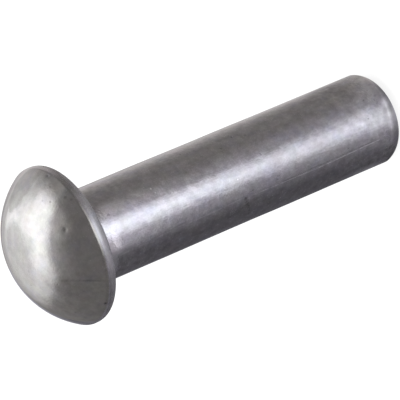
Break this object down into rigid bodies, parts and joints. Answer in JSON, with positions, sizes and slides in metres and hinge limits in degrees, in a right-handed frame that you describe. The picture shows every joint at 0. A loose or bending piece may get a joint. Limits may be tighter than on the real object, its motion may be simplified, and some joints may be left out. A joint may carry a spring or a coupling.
{
  "type": "round head rivet",
  "caption": "Solid metal rivet with a low domed round head on a plain cylindrical shank, set by heading over its rounded plain end.",
  "frame": {"origin": "centre of the head's flat bearing face, on the shank's axis", "axes": "+Z along the shank's axis, from the plain end towards the crown of the head; X and Y are any two directions across it"},
  "size_m": [0.0086, 0.0086, 0.0232],
  "materials": {
    "bare_steel": "bare drawn wire, cold headed: fine lengthwise drawing lines on the shank, a smoother burnished dome and rim, light handling marks"
  },
  "bodies": {
    "root": {"rivet": "bare_steel"}
  },
  "joints": []
}
